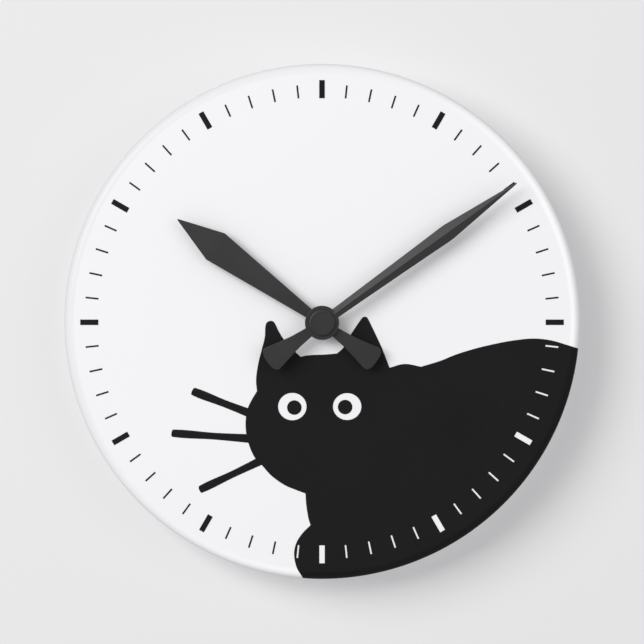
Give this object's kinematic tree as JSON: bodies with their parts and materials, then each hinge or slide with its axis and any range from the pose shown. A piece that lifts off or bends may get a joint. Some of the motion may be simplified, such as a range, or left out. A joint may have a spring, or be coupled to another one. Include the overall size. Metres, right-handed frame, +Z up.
{
  "type": "wall clock",
  "caption": "Round battery wall clock with a black cat printed on a white disc dial, two hands, a quartz movement behind the dial and a keyhole hanger.",
  "frame": {"origin": "on the hand axis, at the movement's rear face where it rests on the wall", "axes": "+X to the right of the dial, +Y into the wall, +Z up; the dial faces -Y"},
  "size_m": [0.2032, 0.0325, 0.2032],
  "materials": {
    "acetal_white": "satin",
    "black_ink": "matte",
    "board_green": "satin",
    "bobbin_plastic": "satin",
    "brass": "satin",
    "case_black": "matte",
    "cell_film": "gloss",
    "copper_wire": "gloss",
    "epoxy_black": "gloss",
    "gasket_rubber": "matte",
    "hand_black": "satin",
    "knob_red": "satin",
    "magnet_grey": "matte",
    "nickel": "satin",
    "steel": "satin",
    "white_acrylic": "satin"
  },
  "bodies": {
    "clock_frame": {"dial_disc": "white_acrylic", "cat_print": "black_ink", "hour_marks": "black_ink", "minute_marks": "black_ink", "front_case": "case_black", "rear_cover": "case_black", "hanger_plate": "steel", "bushing_nut": "brass", "nut_washer": "brass", "dial_gasket": "gasket_rubber", "positive_contact": "nickel", "negative_contact": "nickel", "circuit_board": "board_green", "driver_chip": "epoxy_black", "quartz_crystal": "nickel", "coil_bobbin": "bobbin_plastic", "coil_winding": "copper_wire", "coil_core": "steel", "stator_plate": "steel", "train_bridge": "case_black", "train_pin": "steel", "cover_screw": "steel"},
    "minute_group": {"minute_hand": "hand_black", "centre_cap": "hand_black", "centre_wheel": "acetal_white"},
    "hour_group": {"hour_hand": "hand_black", "hour_wheel": "acetal_white"},
    "intermediate": {"intermediate_wheel": "acetal_white"},
    "knob": {"setting_knob": "knob_red"},
    "third": {"third_wheel": "acetal_white"},
    "seconds": {"seconds_wheel": "acetal_white"},
    "fifth": {"fifth_wheel": "acetal_white"},
    "rotor": {"rotor_magnet": "magnet_grey", "rotor_pinion": "acetal_white"},
    "battery": {"battery_can": "nickel", "battery_sleeve": "cell_film"}
  },
  "joints": [
    {"name": "minute_turn", "type": "hinge", "parent": "clock_frame", "child": "minute_group", "pos_m": [0, 0, 0], "axis": [0, 1, 0], "continuous": true},
    {"name": "hour_turn", "type": "hinge", "parent": "clock_frame", "child": "hour_group", "pos_m": [0, 0, 0], "axis": [0, 1, 0], "continuous": true},
    {"name": "intermediate_turn", "type": "hinge", "parent": "clock_frame", "child": "intermediate", "pos_m": [0.0054, 0, 0.00935], "axis": [0, 1, 0], "continuous": true},
    {"name": "knob_turn", "type": "hinge", "parent": "clock_frame", "child": "knob", "pos_m": [-0.00395, 0, 0.01475], "axis": [0, 1, 0], "continuous": true},
    {"name": "third_turn", "type": "hinge", "parent": "clock_frame", "child": "third", "pos_m": [-0.00883, 0, 0.0051], "axis": [0, 1, 0], "continuous": true},
    {"name": "seconds_turn", "type": "hinge", "parent": "clock_frame", "child": "seconds", "pos_m": [0, 0, 0], "axis": [0, 1, 0], "continuous": true},
    {"name": "fifth_turn", "type": "hinge", "parent": "clock_frame", "child": "fifth", "pos_m": [0.00921, 0, 0.00335], "axis": [0, 1, 0], "continuous": true},
    {"name": "rotor_turn", "type": "hinge", "parent": "clock_frame", "child": "rotor", "pos_m": [0.0171, 0, 0.00048], "axis": [0, 1, 0], "continuous": true},
    {"name": "battery_slide", "type": "slide", "parent": "clock_frame", "child": "battery", "axis": [0, 1, 0], "range_m": [0, 0.03]}
  ],
  "couplings": [
    {"joint": "hour_turn", "follows": "minute_turn", "ratio": 0.083333},
    {"joint": "intermediate_turn", "follows": "minute_turn", "ratio": -0.33333},
    {"joint": "knob_turn", "follows": "minute_turn", "ratio": 1},
    {"joint": "third_turn", "follows": "minute_turn", "ratio": -8},
    {"joint": "seconds_turn", "follows": "minute_turn", "ratio": 60},
    {"joint": "fifth_turn", "follows": "minute_turn", "ratio": -360},
    {"joint": "rotor_turn", "follows": "minute_turn", "ratio": 1800}
  ]
}
